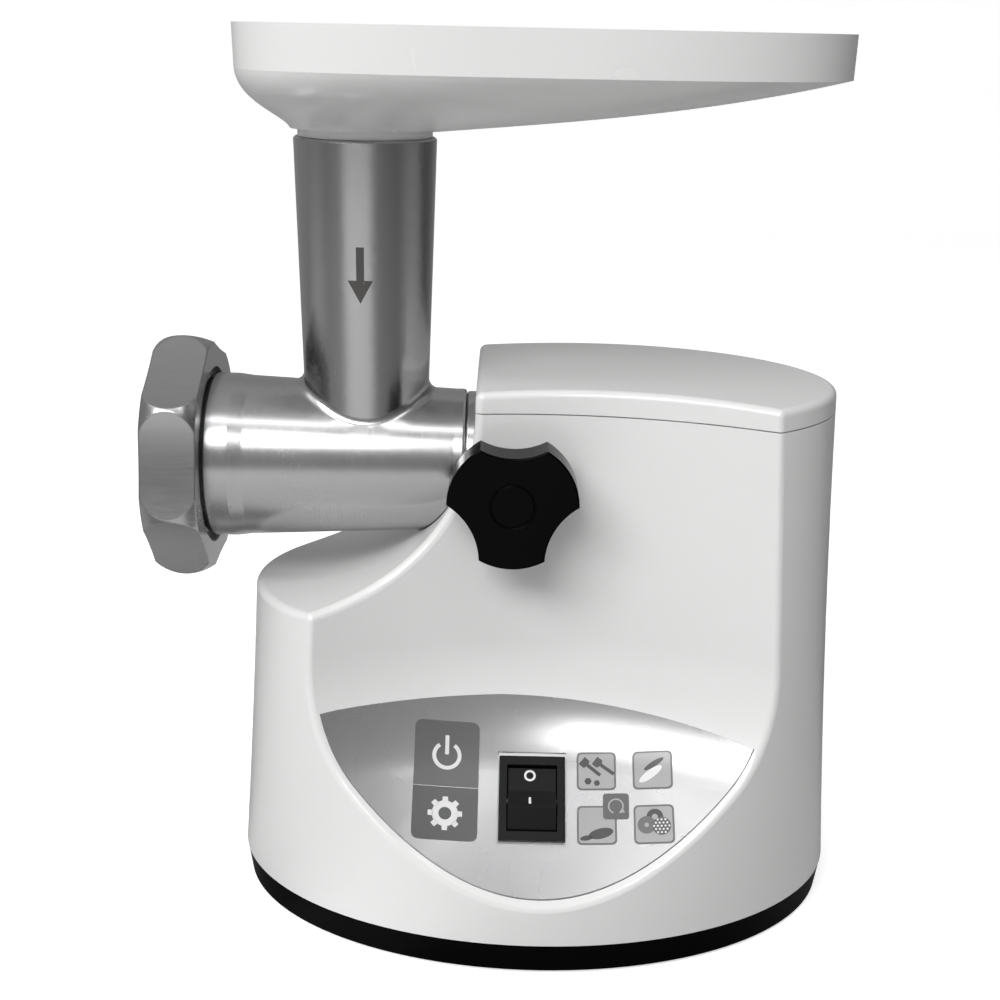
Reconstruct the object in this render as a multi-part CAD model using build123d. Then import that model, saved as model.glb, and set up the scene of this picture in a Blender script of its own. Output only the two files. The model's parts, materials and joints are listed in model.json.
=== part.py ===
from build123d import *
import math
import os

# Electric meat grinder: a drum-shaped motor body with a scooped front and a saddle under the barrel,
# a cast head clamped in its side, and a dish-shaped feed tray on top.
# Millimetres, +Z up, +X to the right seen from the front, +Y to the back.
# The parts are drawn about the drum's own centre on the floor. to_frame_x then moves everything so that
# the origin is the middle of the whole footprint.

to_frame_x = 15.25          # drum centre in the finished frame

# --- motor body ---
wall = 2.8                  # body wall
body_bottom_z = 14.0        # body starts above the black base
parting_z = 215.0           # top cover meets the body here
parting_gap = 0.5
top_z = 226.0               # crown of the cover
crown_r = 1500.0
crown_x, crown_y = 45.0, 15.0
# drum sections: height, half-width, half-depth, centre in Y
drum_sections = ((0.0, 130.2, 92.8, 0.0), (120.0, 122.3, 83.0, -1.2), (236.0, 117.6, 71.5, -3.0))
scoop_y = -220.0            # vertical axis of the turned scoop in the front
scoop_r = 190.0
scoop_floor_r = 100.0       # where its 45 degree slope would meet the floor
scoop_blend_r = 68.3
saddle_x, saddle_z, saddle_r = -106.7, 214.0, 77.7
tower_x = saddle_x + saddle_r   # left wall of the tower, where the barrel goes in

# --- barrel, feed tube and cutting parts, turned about the output axis ---
axis_z = 188.0
screen_r, screen_t = 31.0, 5.5
barrel_front_x = -153.0
screen_front_x = -154.5
knife_t = 5.4
seat_x = -143.4             # bottom of the seat for screen and knife
collar_x = (-137.7, -121.9) # thick collar behind the thread
collar_r = 34.0
thread_r, thread_pitch = 33.6, 3.0
barrel_r_front, barrel_r_back = 33.2, 29.3
barrel_back_x = -33.2
bore_r = 25.2
bore_end_x = -46.0
spigot_r, spigot_end_x = 23.0, -6.0
socket_r = spigot_r + 0.08
tube_x = -74.5
tube_r_top = 28.3
tube_low_half = (24.8, 22.0)    # the tube narrows to an oval where it meets the barrel
tube_top_z = 319.0
chute_r = 20.5
throat_r, throat_z = 19.0, 217.0    # a ledge that stops a pusher over the scroll
mouth_r, mouth_z = 25.7, 301.0

# --- ring nut ---
nut_x = (-160.0, -137.9)
nut_r_mid, nut_r_end = 50.7, 46.8
nut_flutes, flute_r, nut_phase = 7, 150.0, 9.0
nut_mouth_r, nut_relief_r = 27.5, 36.6

# --- feed tray ---
tray_x = (-123.7, 112.9)
tray_half_depth = 75.0
tray_rim_z, tray_crease_z, tray_neck_z = 361.0, 344.5, 323.0
tray_wall = 2.4
tray_neck_r = 26.6
tray_collar_r = 25.6
tray_collar_bore_r = 23.45
tray_collar_z = 303.0

# --- clamp knob ---
knob_x, knob_z = -13.5, 185.2
knob_front_y, knob_back_y, knob_hub_y = -57.0, -42.0, -35.2
knob_r = 25.7
clamp_screw_r, clamp_insert_r = 4.0, 6.0
boss_y = -33.6

# --- switch ---
switch_x, switch_z = -3.0, 61.0
bezel_size = (27.0, 35.0)
rocker_size = (19.6, 26.4)

# --- base ---
base_z = 1.5
base_floor_t = 3.0
foot_xy = ((88.0, 48.0), (-88.0, 48.0), (-88.0, -48.0), (88.0, -48.0))
base_screw_xy = ((72.0, 62.0), (-72.0, 62.0), (-72.0, -56.0), (72.0, -56.0))

# --- gear train: all three stages have the same centre distance ---
stage_c = 30.0
train_lean = math.asin(12.0 / (3 * stage_c))    # the shafts lie on a line that leans to the back
shaft_yz = [(i * stage_c * math.sin(train_lean), axis_z - i * stage_c * math.cos(train_lean))
            for i in range(4)]                  # output, second layshaft, first layshaft, motor
# module, teeth of the large gear, teeth of the pinion, start x, width
stages = ((1.5, 30, 10, 27.0, 12.0), (1.25, 38, 10, 41.0, 9.0), (1.0, 48, 12, 52.0, 7.0))
shaft_r = (4.0, 3.5, 4.0, 4.0)
box_x = (22.0, 61.0)        # gearbox housing
box_plate = 3.0
cover_x = 64.0
bush_gap = 0.05             # running clearance of every shaft in its bush

# --- motor ---
stator_x = (-50.0, 0.0)
stator_half = 34.0
armature_r = 20.5
commutator_x = (-72.0, -60.0)
commutator_r = 11.0
fan_x = (7.0, 14.0)
fan_r = 28.0
motor_y, motor_z = shaft_yz[3]

# --- edges and openings of the motor body ---
edge_round = 3.0
boss_r = 8.0                # boss round the clamp screw, inside the tower
collar_tube_r = 26.8
shelf_x = -4.0
panel_t, panel_proud, panel_margin = 1.2, 0.2, 3.0
panel_crest = ((-130.0, 93.0), (4.0, 95.3), (130.0, 77.6))    # x and z of three points on its top edge
gland_r, gland_z = 7.0, 34.0

# --- drive from the gearbox into the scroll ---
output_shaft_r = 8.0
neck_bush_r = 10.5
drive_head_r, drive_head_x = 13.0, -24.0
drive_pocket_r = 14.2
drive_square, drive_tang_end = 12.0, -8.0

# --- scroll, knife and screen ---
journal_r, bush_r = 9.0, 11.5
core_r = 10.6
flight_x, flight_pitch, flight_t = (-142.5, -49.0), 27.0, 4.6
flight_root_r, flight_outer_r = 9.0, 24.7
knife_square, knife_r, pin_r = 11.0, 29.6, 4.0
hole_pitch, hole_r = 6.3, 2.3

# --- gearbox fittings ---
screw_r = 1.5
bush_wall = 2.4
backlash = 0.28

# --- clamp screw and switch fittings ---
clamp_tip_y = -21.5
knob_hollow = 3.2
bezel_skirt, bezel_height = (23.0, 31.0), 2.3
rocker_pivot, rocker_ridge = -3.0, -4.4

# --- feet and base screws ---
base_screw_r = 1.9
foot_r = 9.0

# --- motor shaft, brackets and cradle ---
motor_shaft_r, motor_end_x = 4.0, -86.0
bearing_r = 8.0
rear_bracket_x, front_bracket_x = (-84.0, -80.5), (16.5, 19.5)
bolt_off, bolt_r = 27.5, 1.9
cradle_pad_t = 2.5

# --- dish of the feed tray ---
# sections under the rim: height, left end, right end, half-depth
tray_dish = ((344.5, -123.2, 112.5, 74.4), (335.0, -118.8, 66.5, 62.0), (329.0, -111.5, 24.5, 48.0),
             (322.5, -103.5, -40.0, 30.0))


def along_x(radius, x0, x1, y=0.0, z=axis_z):
    """A cylinder along X."""
    return Pos(x0, y, z) * Rot(0, 90, 0) * Cylinder(
        radius, x1 - x0, align=(Align.CENTER, Align.CENTER, Align.MIN))


def along_y(radius, y0, y1, x, z):
    """A cylinder along Y."""
    return Pos(x, y0, z) * Rot(-90, 0, 0) * Cylinder(
        radius, y1 - y0, align=(Align.CENTER, Align.CENTER, Align.MIN))


def along_z(radius, z0, z1, x, y):
    """A cylinder along Z."""
    return Pos(x, y, z0) * Cylinder(radius, z1 - z0, align=(Align.CENTER, Align.CENTER, Align.MIN))


def block(x0, x1, y0, y1, z0, z1):
    """A box from its limits."""
    return Pos(x0, y0, z0) * Box(x1 - x0, y1 - y0, z1 - z0, align=(Align.MIN, Align.MIN, Align.MIN))


def turned_x(points, y=0.0, z=axis_z, seam=0.0):
    """A solid turned about an axis along X, from (x, radius) points, its seam turned by seam degrees."""
    outline = Polyline([(px, 0, r) for px, r in points], close=True)
    return Pos(0, y, z) * Rot(seam, 0, 0) * revolve(make_face(outline), Axis.X, 360)


def in_yz(shape, x0, x1):
    """A sketch drawn with its x as Y and its y as Z, extruded from x0 to x1."""
    return extrude(Plane(origin=(x0, 0, 0), x_dir=(0, 1, 0), z_dir=(1, 0, 0)) * shape, x1 - x0)


# --- motor body ---------------------------------------------------------------------------------

def drum(inset, z0, z1):
    """The leaning elliptical drum, cut between two heights."""
    rings = [Pos(0, y, z) * Ellipse(a - inset, b - inset) for z, a, b, y in drum_sections]
    whole = loft(rings)
    return whole & block(-200, 200, -200, 200, z0, z1)


def scoop(inset):
    """What the turned scoop takes out of the drum: a 45 degree slope that blends into a wall."""
    slope = scoop_floor_r + inset * math.sqrt(2)
    upright = scoop_r + inset
    outline = Polyline((0, 0), (slope, 0), (upright, upright - slope), (upright, 320), (0, 320), close=True)
    corner = Plane.XZ * make_face(outline)
    knee = corner.vertices().sort_by_distance((upright, 0, upright - slope))[0]
    blended = fillet(knee, scoop_blend_r + inset)
    return Pos(0, scoop_y, 0) * revolve(blended, Axis.Z, 360)


def saddle(inset):
    """What the round saddle and the space over it take out of the drum, left of the tower."""
    r = saddle_r + inset
    left, top = -300, 400
    outline = (Line((left, top), (left, saddle_z - r))
               + Line((left, saddle_z - r), (saddle_x, saddle_z - r))
               + CenterArc((saddle_x, saddle_z), r, -90, 90)
               + Line((saddle_x + r, saddle_z), (saddle_x + r, top))
               + Line((saddle_x + r, top), (left, top)))
    return Pos(0, 200, 0) * extrude(Plane.XZ * make_face(outline), 400)


def barrel_relief(inset):
    """The round hollow in the saddle and the tower wall that clears the end of the barrel."""
    wide, narrow = barrel_r_front + 0.3 + inset, barrel_r_back + 0.3 + inset
    return turned_x([(collar_x[1], 0), (collar_x[1], wide), (barrel_back_x, narrow),
                     (tower_x + inset, narrow), (tower_x + inset, 0)])


def crown(inset):
    """The large ball that limits the top."""
    return Pos(crown_x, crown_y, top_z - crown_r) * Sphere(crown_r - inset)


def body_form(inset, z0=body_bottom_z):
    """The whole body and cover as one solid, every face moved in by inset."""
    return (drum(inset, z0, 236) - scoop(inset) - saddle(inset)) & crown(inset)


def outer_rims(shape):
    """The sharp outer edges of the body or cover: not seams, inner edges or the parting faces."""
    core = body_form(0.8, 5)
    rims = []
    for e in shape.edges():
        c, size = e @ 0.5, e.bounding_box().size
        flat_cut = size.Z < 0.01 and min(abs(c.Z - z) for z in (body_bottom_z, parting_z,
                                                                parting_z + parting_gap)) < 0.1
        drum_seam = size.Y < 6 and c.X > 100 and abs(c.Y) < 4
        crown_seam = size.Y < 0.1 and abs(c.Y - crown_y) < 0.1
        smooth = e.geom_type != GeomType.BSPLINE and c.Z < parting_z - 40
        if not (flat_cut or drum_seam or crown_seam or smooth or core.is_inside(c)):
            rims.append(e)
    return rims


def screw_posts():
    """Four posts inside the body for the base screws, each tied to the wall by a rib."""
    posts = []
    for x, y in base_screw_xy:
        side = 1 if y > 0 else -1
        rib = block(x - 1.3, x + 1.3, min(y, side * 95), max(y, side * 95), 17.0, 33.0) & body_form(1.0)
        post = along_z(5.0, body_bottom_z + 0.3, 34.0, x, y) + rib
        posts.append(post - along_z(base_screw_r + 0.03, body_bottom_z, 30.0, x, y))
    return posts


def switch_plane(out=0.0):
    """The plane of the switch on the slope: x along X, y up the slope, z straight out of it."""
    r = scoop_floor_r + switch_z - panel_proud * math.sqrt(2) / 2
    y = scoop_y + math.sqrt(r ** 2 - switch_x ** 2)
    z = switch_z + panel_proud * math.sqrt(2) / 2
    normal = (0, -math.sqrt(0.5), math.sqrt(0.5))
    at = Vector(switch_x, y, z) + Vector(*normal) * out
    return Plane(origin=at, x_dir=(1, 0, 0), z_dir=normal)


def on_switch(width, height, low, high, y=0.0):
    """A box on the switch plane, from low to high along its normal."""
    return switch_plane() * Pos(0, y, low) * Box(width, height, high - low,
                                                align=(Align.CENTER, Align.CENTER, Align.MIN))


def panel_band(front, back, margin):
    """A skin that follows the scoop, from front of it to back of it, inside the scoop's own edge."""
    band = (scoop(back) - scoop(-front)) & drum(margin, body_bottom_z, panel_crest[1][1] + 1)
    left, crest, right = panel_crest
    under = ThreePointArc(left, crest, right) + Polyline(right, (right[0], 20), (left[0], 20), left)
    return band & extrude(Plane.XZ * make_face(under), 200)


def body_shell():
    inside = body_form(wall, 5) - barrel_relief(wall)
    shell = (body_form(0) & block(-200, 200, -200, 200, 0, parting_z)) - inside
    shell = fillet(outer_rims(shell), edge_round) - barrel_relief(0)
    shell -= panel_band(2.0, panel_t - panel_proud, panel_margin - 0.25)
    shell -= on_switch(bezel_skirt[0] + 0.6, bezel_skirt[1] + 0.6, -8, 6)
    shell -= along_x(collar_tube_r + 0.3, -40, tower_x + 8)
    shell -= along_y(boss_r + 0.3, -50, -20, knob_x, knob_z)
    shell -= along_y(gland_r + 0.1, 80, 100, 0, gland_z)
    for post in screw_posts():
        shell += post
    return shell


def top_cover():
    skin = body_form(0) & block(-200, 200, -200, 200, parting_z + parting_gap, top_z + 5)
    skin -= body_form(wall - 0.3, 150)
    skin = fillet(outer_rims(skin), edge_round)
    lip_ring = body_form(wall + 0.4, 150) - body_form(wall + 2.4, 140)
    lip = lip_ring & block(-12, 200, -200, 200, parting_z - 5, parting_z + 2.5)
    tie_ring = body_form(wall - 0.4, 150) - body_form(wall + 2.4, 140)
    tie = tie_ring & block(-12, 200, -200, 200, parting_z + parting_gap, parting_z + 2.5)
    return skin + lip + tie


def control_panel():
    panel = panel_band(panel_proud, panel_t - panel_proud, panel_margin)
    panel = panel - on_switch(bezel_size[0] + 1.0, bezel_size[1] + 4.5, -0.3, 5)
    return panel - on_switch(bezel_skirt[0] + 0.6, bezel_skirt[1] + 0.6, -8, 6)


# --- base ---------------------------------------------------------------------------------------

def oval(a, b, z):
    return Pos(0, 0, z) * Ellipse(a, b)


def base_plate():
    a, b = drum_sections[0][1] - 1.2, drum_sections[0][2] - 1.2
    outer = loft([oval(a - 1.8, b - 1.8, base_z), oval(a, b, body_bottom_z - 0.3)])
    inner = extrude(oval(a - 5, b - 5, base_z + base_floor_t), 20)
    plate = outer - inner
    for x, y in base_screw_xy:
        plate += along_z(6.5, base_z + base_floor_t, body_bottom_z - 0.3, x, y)
    for x, y in base_screw_xy:
        plate -= along_z(base_screw_r + 0.3, 0, 20, x, y)
        plate -= along_z(4.6, 0, base_z + 3.0, x, y)
    for x, y in foot_xy:
        plate -= along_z(foot_r + 0.1, 0, base_z + 1.2, x, y)
    for i in range(9):
        x = -32 + i * 8
        plate -= block(x - 1.6, x + 1.6, -22, 26, 0, 10)
    return plate


def rubber_feet():
    return [along_z(foot_r, 0, base_z + 1.2, x, y) for x, y in foot_xy]


def base_screws():
    screws = []
    for x, y in base_screw_xy:
        head = along_z(4.0, base_z + 0.6, base_z + 2.98, x, y)
        head -= Pos(x, y, base_z + 0.6) * (Box(5, 1.1, 2.4) + Box(1.1, 5, 2.4))
        screws.append(head + along_z(base_screw_r, base_z + 2.98, 28.0, x, y))
    return screws


def cord_gland():
    """A bush in the back wall for the supply cord."""
    body = along_y(gland_r, 82.0, 91.5, 0, gland_z) + along_y(gland_r + 2.5, 91.5, 93.0, 0, gland_z)
    body += along_y(gland_r + 2.0, 83.8, 85.8, 0, gland_z)
    return body - along_y(3.7, 80, 96, 0, gland_z)


# --- switch -------------------------------------------------------------------------------------

def switch_bezel():
    frame = on_switch(*bezel_size, -0.25, bezel_height)
    frame = fillet(frame.edges().filter_by(GeomType.LINE).sort_by_distance(
        switch_plane(10).origin)[:4], 0.8)
    frame += on_switch(*bezel_skirt, -5.0, -0.25)
    frame -= on_switch(rocker_size[0] + 0.8, rocker_size[1] + 1.2, -9, 9)
    return frame - rocker_axle(0.06)


def rocker_axle(gap=0.0):
    length = rocker_size[0] + 2.6
    return switch_plane() * Pos(-length / 2, 0, rocker_pivot) * Rot(0, 90, 0) * Cylinder(
        1.2 + gap, length, align=(Align.CENTER, Align.CENTER, Align.MIN))


def switch_rocker():
    """Off: the long upper face carries both marks and the ridge is low on the rocker."""
    half = rocker_size[1] / 2 + 0.6
    side = Polyline((-half, -5.0), (0, -7.5), (half, -5.0), (half, 0.9), (3.0, 1.4), (rocker_ridge, 4.4),
                    (-half, 0.4), close=True)
    profile = switch_plane() * Plane(origin=(-rocker_size[0] / 2, 0, 0), x_dir=(0, 1, 0), z_dir=(1, 0, 0))
    rocker = extrude(profile * make_face(side), rocker_size[0])
    sweep_r = rocker_size[1] / 2 + 0.1
    swing = switch_plane() * Pos(0, 0, rocker_pivot) * Rot(0, 90, 0) * Cylinder(sweep_r, 40)
    return (rocker & swing) - rocker_axle()


def switch_body():
    body = on_switch(bezel_skirt[0] - 0.4, bezel_skirt[1] - 0.4, -26, -5.2)
    return body - on_switch(rocker_size[0] + 0.8, rocker_size[1] + 1.2, -12.5, 0)


def switch_terminals():
    return [on_switch(0.8, 6.3, -33, -26, y) for y in (-9.0, 0.0, 9.0)]


# --- head: barrel, feed tube, cutting parts ------------------------------------------------------

def thread_points():
    """Ring-shaped ridges that stand for the thread on the barrel's mouth."""
    points, x = [], barrel_front_x + 1.5
    while x + thread_pitch < collar_x[0]:
        points += [(x, thread_r - 1.2), (x + 1.0, thread_r), (x + 1.8, thread_r), (x + 2.8, thread_r - 1.2)]
        x += thread_pitch
    return points


def barrel_housing():
    outline = [(barrel_front_x, 0), (barrel_front_x, thread_r - 1.2)] + thread_points() + [
        (collar_x[0], thread_r - 1.2), (collar_x[0], collar_r - 0.8), (collar_x[0] + 0.8, collar_r),
        (collar_x[1] - 6.0, collar_r), (collar_x[1], barrel_r_front), (barrel_back_x - 4.5, barrel_r_back),
        (barrel_back_x - 0.8, barrel_r_back), (barrel_back_x, barrel_r_back - 0.8),
        (barrel_back_x, spigot_r), (spigot_end_x - 1, spigot_r), (spigot_end_x, spigot_r - 1),
        (spigot_end_x, 0)]
    barrel = turned_x(outline)
    tube = loft([Pos(tube_x, 0, axis_z) * Ellipse(*tube_low_half),
                 Pos(tube_x, 0, tube_top_z) * Ellipse(tube_r_top, tube_r_top - 0.01)], ruled=True)
    tube = chamfer(tube.edges().group_by(Axis.Z)[-1], 0.8)
    body = barrel + tube
    joint = [e for e in body.edges() if e.bounding_box().size.X > 40 and 8 < e.bounding_box().size.Z < 20
             and e.center().Z > axis_z]
    body = fillet(joint, 4.5)
    body -= along_x(bore_r, barrel_front_x - 1, bore_end_x)
    body -= along_x(screen_r + 0.2, barrel_front_x - 1, seat_x)
    body -= along_z(throat_r, axis_z, tube_top_z, tube_x, 0)
    body -= along_z(chute_r, throat_z, tube_top_z + 1, tube_x, 0)
    body -= along_z(mouth_r, mouth_z, tube_top_z + 1, tube_x, 0)
    body -= along_x(bush_r, bore_end_x - 1, spigot_end_x)
    body -= along_x(drive_pocket_r, barrel_back_x + 1, spigot_end_x + 1)
    # a flat groove for the clamp screw, open at the inner end so the head slides straight out
    body -= block(knob_x - 5, spigot_end_x + 1, -spigot_r - 1, -spigot_r + 1.8, knob_z - 4.8, knob_z + 4.8)
    key = block(barrel_front_x, barrel_front_x + 4.2, -1.5, 1.5, axis_z - screen_r - 1.2,
                axis_z - screen_r + 1.8)
    return body + key


def scroll_bush():
    bush = along_x(bush_r, bore_end_x, barrel_back_x + 1) + along_x(bush_r + 3, bore_end_x - 1.5, bore_end_x)
    return bush - along_x(journal_r + bush_gap, -60, 0)


def scroll_flight():
    """The rising flight of the scroll."""
    height = flight_x[1] - flight_x[0]
    path = Helix(pitch=flight_pitch, height=height, radius=(flight_root_r + flight_outer_r) / 2)
    start = Plane(origin=path @ 0, x_dir=(1, 0, 0), z_dir=path % 0)
    section = start * Rectangle(flight_outer_r - flight_root_r + 3, flight_t)
    flight = sweep(section, path=path, is_frenet=True)
    return Pos(flight_x[0], 0, axis_z) * Rot(0, 90, 0) * flight


def scroll():
    flight = scroll_flight() & along_x(flight_outer_r, flight_x[0] + 2, flight_x[1] - 1)
    core = turned_x([(seat_x, 0), (seat_x, core_r), (bore_end_x - 1.6, core_r), (bore_end_x - 1.6, journal_r),
                     (barrel_back_x, journal_r), (barrel_back_x, 0)], seam=37)
    tang = Pos((barrel_back_x + drive_tang_end) / 2, 0, axis_z) * Box(
        drive_tang_end - barrel_back_x + 1, drive_square, drive_square)
    nose = Pos(seat_x - knife_t / 2, 0, axis_z) * Box(knife_t + 0.4, knife_square, knife_square)
    pin = along_x(pin_r, screen_front_x - 0.5, seat_x)
    return core + flight + tang + nose + pin


def cutting_knife():
    """Four blades on a hub, each with a flat cutting face and a bevelled back."""
    x0, x1 = seat_x - knife_t, seat_x - 0.1
    knife = along_x(11.0, x0, x1)
    for k in range(4):
        blade = Polyline((-4.6, 4), (-4.6, 20), (-3.4, knife_r), (1.5, knife_r), (4.6, 20), (4.6, 4),
                         close=True)
        knife += Pos(0, 0, axis_z) * Rot(k * 90, 0, 0) * in_yz(make_face(blade), x0, x1)
    knife &= along_x(knife_r - 0.3, x0, x1)
    return knife - Pos((x0 + x1) / 2, 0, axis_z) * Box(20, knife_square + 0.1, knife_square + 0.1)


def cutter_screen():
    """A perforated disc with holes on a triangular grid and a notch for the barrel's key."""
    disc = along_x(screen_r, screen_front_x, screen_front_x + screen_t)
    holes = [(0.0, 0.0, pin_r + 0.15)]
    for i in range(-6, 7):
        for j in range(-6, 7):
            y, z = hole_pitch * (i + j / 2), hole_pitch * j * math.sqrt(3) / 2
            if 9.0 < math.hypot(y, z) < 27.0:
                holes.append((y, z, hole_r))
    cutters = [along_x(r, screen_front_x - 1, screen_front_x + screen_t + 1, y, axis_z + z)
               for y, z, r in holes]
    notch = block(-160, -145, -1.8, 1.8, axis_z - screen_r - 1, axis_z - screen_r + 2.2)
    return disc - cutters - notch


def ring_nut():
    """A crowned ring with shallow flutes for the hand."""
    x0, x1 = nut_x
    mid = (x0 + x1) / 2
    outline = ThreePointArc((x0, nut_r_end), (mid, nut_r_mid), (x1, nut_r_end))
    outline += Polyline((x1, nut_r_end), (x1, 0), (x0, 0), (x0, nut_r_end))
    nut = Pos(0, 0, axis_z) * revolve(Plane.XZ * make_face(outline), Axis.X, 360)
    half = math.pi / nut_flutes * 0.975
    flute_y = nut_r_mid * math.cos(half) + math.sqrt(flute_r ** 2 - (nut_r_mid * math.sin(half)) ** 2)
    for k in range(nut_flutes):
        angle = math.radians(nut_phase + k * 360 / nut_flutes)
        y, z = -flute_y * math.cos(angle), axis_z + flute_y * math.sin(angle)
        nut -= along_x(flute_r, x0 - 1, x1 + 1, y, z)
    nut -= along_x(nut_mouth_r, x0 - 1, x0 + 6)
    nut -= along_x(thread_r + 0.4, screen_front_x - 0.1, x1 + 1)
    nut -= along_x(nut_relief_r, x1 - 5, x1 + 1)
    return nut


# --- feed tray ----------------------------------------------------------------------------------

def tray_outline(z, x0, x1, half_depth, inset):
    """A closed outline, blunt at the left and rounder at the right."""
    cx, a, b = (x0 + x1) / 2, (x1 - x0) / 2 - inset, half_depth - inset
    points = []
    for k in range(36):
        t = 2 * math.pi * k / 36
        power = 2 / 3.0 if math.cos(t) < 0 else 2 / 2.5
        px = math.copysign(abs(math.cos(t)) ** power, math.cos(t))
        py = math.copysign(abs(math.sin(t)) ** (2 / 2.7), math.sin(t))
        points.append((cx + a * px, b * py, z))
    return make_face(Spline(points, periodic=True))


def tray_form(inset, lift, top):
    """The dish from its rim down to the chute."""
    dish = [tray_outline(z + lift, x0, x1, b, inset) for z, x0, x1, b in tray_dish]
    rim = [tray_outline(tray_crease_z + lift, *tray_dish[0][1:], inset),
           tray_outline(top, *tray_x, tray_half_depth, inset)]
    return loft(dish) + loft(rim, ruled=True)


def feed_tray():
    tray = tray_form(0, 0, tray_rim_z)
    tray += along_z(tray_neck_r, tube_top_z + 0.2, tray_neck_z + 4, tube_x, 0)
    tray -= tray_form(tray_wall, 2.0, tray_rim_z + 0.5)
    tray += along_z(tray_collar_r, tray_collar_z, tray_neck_z + 1, tube_x, 0)
    return tray - along_z(tray_collar_bore_r, tray_collar_z - 1, tray_rim_z, tube_x, 0)


# --- clamp --------------------------------------------------------------------------------------

def knob_outline(r):
    """Three wide lobes with three hollows between them."""
    corners = [(r * math.cos(math.radians(a)), r * math.sin(math.radians(a))) for a in range(0, 360, 60)]
    edges = []
    for k in range(6):
        a, b = corners[k], corners[(k + 1) % 6]
        middle = math.radians(30 + 60 * k)
        reach = r if k % 2 == 0 else r * math.cos(math.pi / 6) - knob_hollow
        edges.append(ThreePointArc(a, (reach * math.cos(middle), reach * math.sin(middle)), b))
    return make_face(Curve() + edges)


def clamp_knob():
    face = Plane(origin=(knob_x, knob_back_y, knob_z), x_dir=(1, 0, 0), z_dir=(0, -1, 0))
    knob = extrude(face * knob_outline(knob_r), knob_back_y - knob_front_y)
    knob = fillet(knob.faces().sort_by(Axis.Y)[0].edges(), 0.7)
    knob += along_y(10.5, knob_back_y, knob_hub_y, knob_x, knob_z)
    knob -= along_y(9.0, knob_front_y - 1, knob_front_y + 0.5, knob_x, knob_z)
    knob += along_y(8.2, knob_front_y + 0.1, knob_front_y + 0.6, knob_x, knob_z)
    return knob - along_y(clamp_screw_r, knob_back_y - 9, knob_hub_y + 1, knob_x, knob_z)


def clamp_screw():
    screw = along_y(clamp_screw_r, knob_back_y - 9, clamp_tip_y, knob_x, knob_z)
    return chamfer(screw.edges().filter_by(GeomType.CIRCLE).sort_by(Axis.Y)[-1], 0.8)


def knob_washer():
    return along_y(9.0, knob_hub_y + 0.05, knob_hub_y + 1.2, knob_x, knob_z) - along_y(
        clamp_screw_r + 0.06, -60, 0, knob_x, knob_z)


def clamp_insert():
    return along_y(clamp_insert_r, boss_y, -socket_r - 1.0, knob_x, knob_z) - along_y(
        clamp_screw_r + 0.06, -60, 0, knob_x, knob_z)


# --- outlet and gearbox --------------------------------------------------------------------------

def outlet_collar():
    x_flange = tower_x - 3.9
    collar = turned_x([(x_flange, 0), (x_flange, 27.7), (x_flange + 0.7, 28.4), (tower_x - 0.3, 28.4),
                       (tower_x - 0.3, collar_tube_r), (0, collar_tube_r), (0, 14.5), (18, 14.5), (18, 23.4),
                       (box_x[0], 23.4), (box_x[0], 0)])
    collar += along_y(boss_r, boss_y, -10, knob_x, knob_z)
    collar -= along_x(socket_r, x_flange - 1, shelf_x)
    collar -= along_x(drive_head_r + 0.6, shelf_x - 1, -1.0)
    collar -= along_x(neck_bush_r, -2, box_x[0] + 1)
    collar -= along_y(clamp_insert_r, boss_y - 1, -socket_r - 1.0, knob_x, knob_z)
    collar -= along_y(clamp_screw_r + 0.3, boss_y - 1, -10, knob_x, knob_z)
    for y, z in collar_screw_yz():
        collar -= along_x(screw_r + 0.05, 10, 30, y, z)
    return collar


def collar_screw_yz():
    return [(20 * math.cos(math.radians(a)), axis_z + 20 * math.sin(math.radians(a)))
            for a in (45, 135, 225, 315)]


def collar_screws():
    return [along_x(3.0, 16, 18, y, z) + along_x(screw_r, 18, box_x[0] + 2.9, y, z)
            for y, z in collar_screw_yz()]


def output_bush():
    return along_x(neck_bush_r, 0.5, 18) - along_x(output_shaft_r + bush_gap, -1, 30)


def box_outline(grow):
    """The hull around the gears, seen along the shafts."""
    radii = (24.8, 26.0, 25.8, 10.0)
    rings = [Pos(y, z) * Circle(r + grow) for (y, z), r in zip(shaft_yz, radii)]
    return make_hull([e for ring in rings for e in ring.edges()])


def lug_yz():
    """Screw lugs on the gearbox: one beside each shaft, on whichever side has room."""
    places = ((0, 30, 28.0), (1, 200, 27.6), (2, 340, 28.0), (3, 225, 13.0))
    return [(shaft_yz[i][0] + r * math.cos(math.radians(a)), shaft_yz[i][1] + r * math.sin(math.radians(a)))
            for i, a, r in places]


def gearbox_housing():
    x0, x1 = box_x
    outer = in_yz(box_outline(2.0), x0, x1)
    for y, z in lug_yz():
        outer += along_x(4.2, x0, x1, y, z)
    outer -= in_yz(box_outline(0), x0 + box_plate, x1 + 1)
    outer -= along_x(output_shaft_r + 0.6, x0 - 1, x0 + 5)
    for (y, z), r in list(zip(shaft_yz, shaft_r))[1:]:
        outer -= along_x(r + bush_wall, x0 - 1, x0 + 5, y, z)
    for y, z in lug_yz():
        outer -= along_x(screw_r + 0.05, x1 - 12, x1 + 1, y, z)
    for y, z in collar_screw_yz():
        outer -= along_x(screw_r + 0.05, x0 - 1, x0 + 5, y, z)
    return outer


def gearbox_cover():
    plate = in_yz(box_outline(2.0), box_x[1], cover_x)
    for y, z in lug_yz():
        plate += along_x(4.2, box_x[1], cover_x, y, z)
    for (y, z), r in zip(shaft_yz, shaft_r):
        plate += along_x(r + bush_wall + 2, cover_x, cover_x + 1.5, y, z)
        plate -= along_x(r + bush_wall, box_x[1] - 1, cover_x + 0.6, y, z)
    for y, z in lug_yz():
        plate -= along_x(screw_r + 0.3, box_x[1] - 1, cover_x + 1, y, z)
    return plate


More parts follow.
